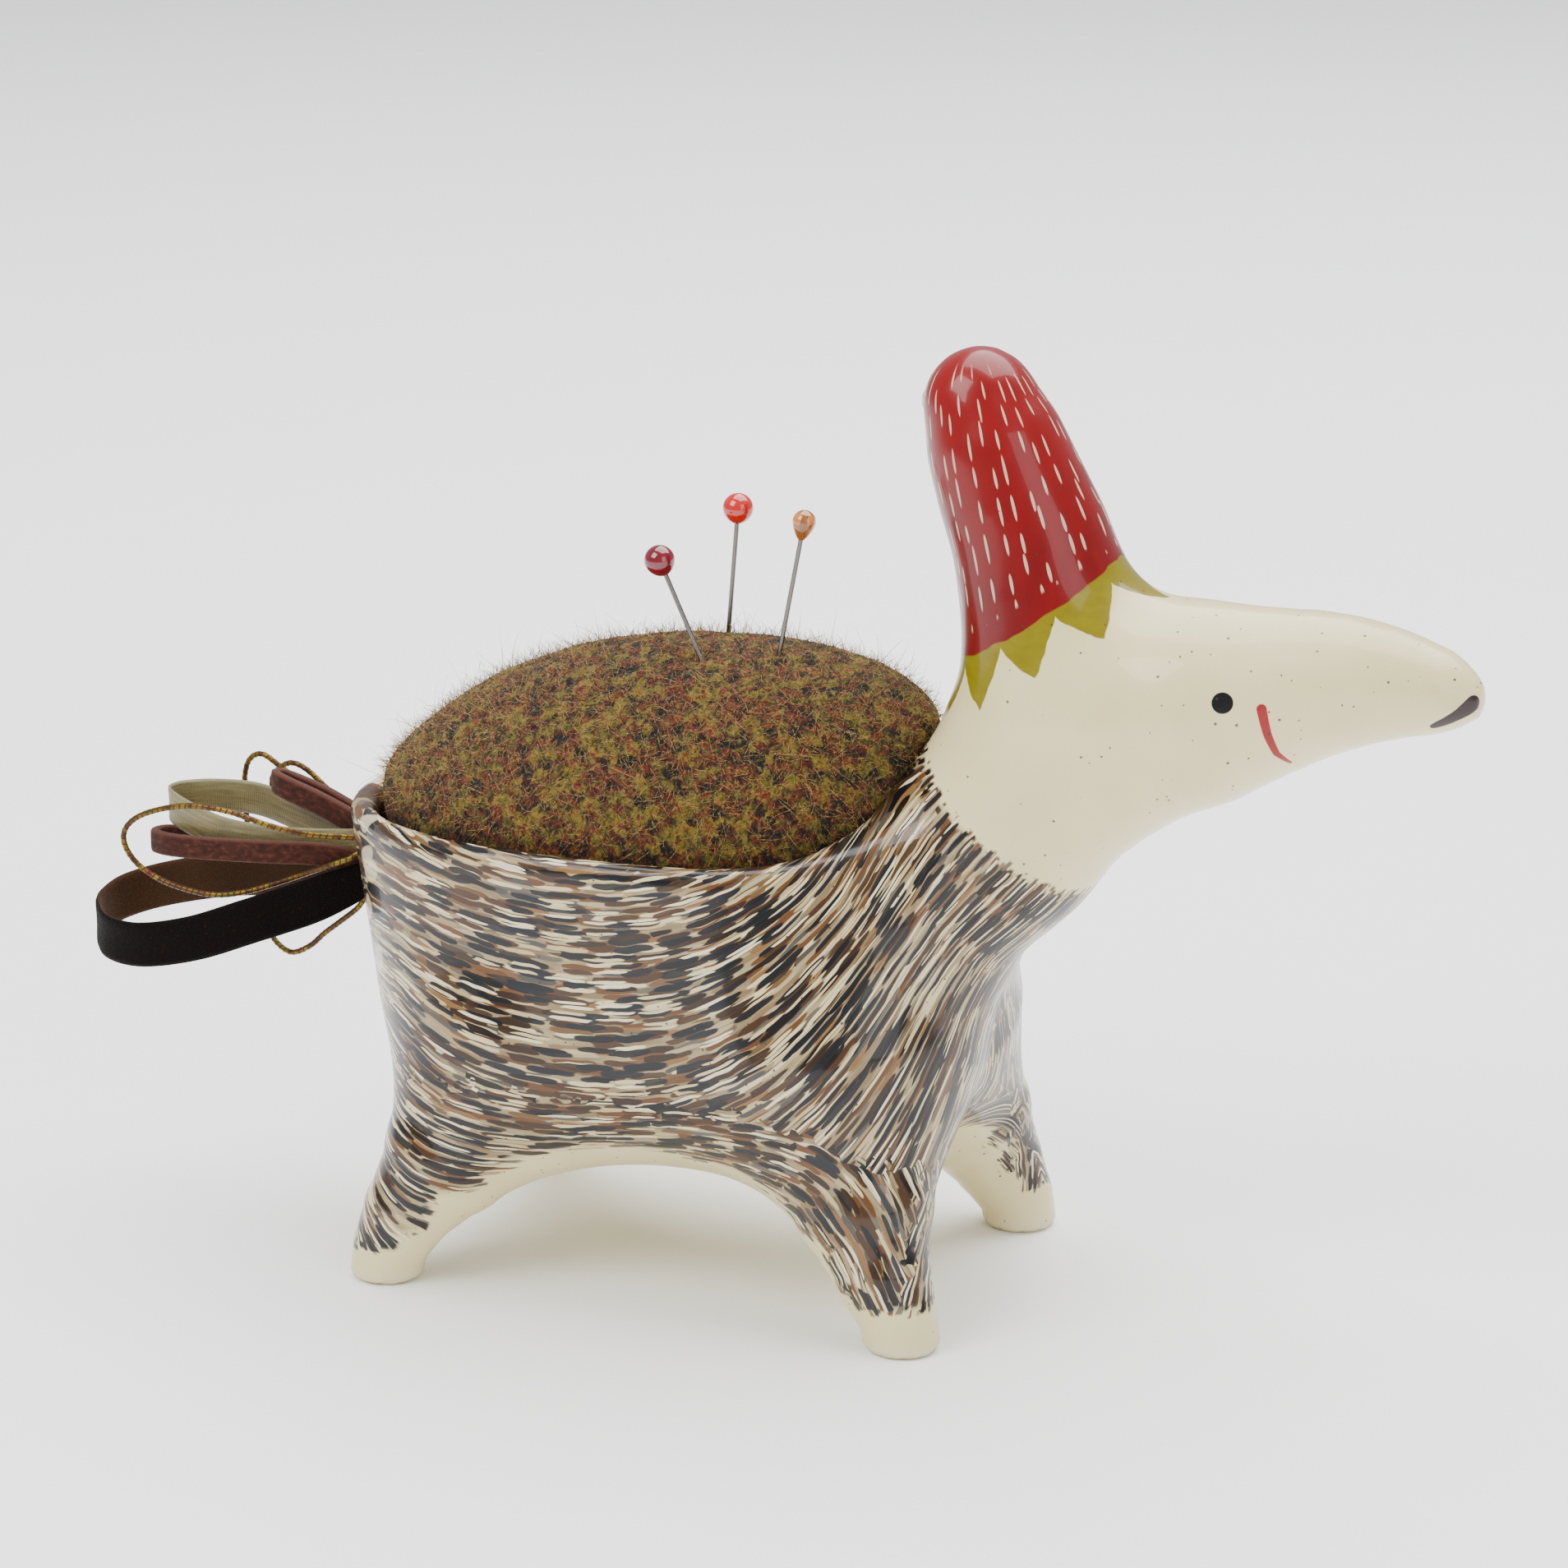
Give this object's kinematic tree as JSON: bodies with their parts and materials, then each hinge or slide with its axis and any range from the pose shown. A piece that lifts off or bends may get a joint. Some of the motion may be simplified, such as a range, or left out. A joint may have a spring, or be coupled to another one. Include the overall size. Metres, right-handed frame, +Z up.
{
  "type": "pin cushion",
  "caption": "Glazed ceramic animal on four legs with a tweed pin pad set in its hollow back, glass-headed pins and a tail of ribbon and cord loops.",
  "frame": {"origin": "centre of the ceramic body's footprint box, on the table under the feet", "axes": "+X towards the snout, +Y to the animal's left, +Z up"},
  "size_m": [0.193, 0.059, 0.125],
  "materials": {
    "glazed_clay": "gloss",
    "tweed": "woollen tweed",
    "stuffing": "matte",
    "card": "matte",
    "thread": "matte",
    "glue": "satin",
    "pin_steel": "polished",
    "dark_red_glass": "gloss",
    "red_glass": "gloss",
    "amber_glass": "gloss",
    "velvet": "pile",
    "satin": "sheen",
    "suede": "suede",
    "metallic_cord": "metallic wrap"
  },
  "bodies": {
    "bowl": {"ceramic_body": "glazed_clay", "pad_cover": "tweed", "pad_stuffing": "stuffing", "base_card": "card", "gather_thread": "thread", "glue_bead": "glue"},
    "pin_1": {"pin_1_shaft": "pin_steel", "pin_1_head": "dark_red_glass"},
    "pin_2": {"pin_2_shaft": "pin_steel", "pin_2_head": "red_glass"},
    "pin_3": {"pin_3_shaft": "pin_steel", "pin_3_head": "amber_glass"},
    "tail": {"velvet_loop": "velvet", "satin_loop": "satin", "suede_loop_long": "suede", "suede_loop_short": "suede", "metallic_cord_1": "metallic_cord", "metallic_cord_2": "metallic_cord", "metallic_cord_3": "metallic_cord", "tail_whipping": "thread"}
  },
  "joints": [
    {"name": "pin_1_slide", "type": "slide", "parent": "bowl", "child": "pin_1", "axis": [-0.4163, 0, 0.9092], "range_m": [-0.009, 0.04]},
    {"name": "pin_2_slide", "type": "slide", "parent": "bowl", "child": "pin_2", "axis": [0.0837, 0, 0.9965], "range_m": [-0.012, 0.04]},
    {"name": "pin_3_slide", "type": "slide", "parent": "bowl", "child": "pin_3", "axis": [0.1891, 0, 0.982], "range_m": [-0.014, 0.04]},
    {"name": "tail_wag", "type": "hinge", "parent": "bowl", "child": "tail", "pos_m": [-0.073, 0, 0.0493], "axis": [0, 0, 1], "range_deg": [-12, 12], "stiffness_Nm_per_rad": 0.002}
  ]
}
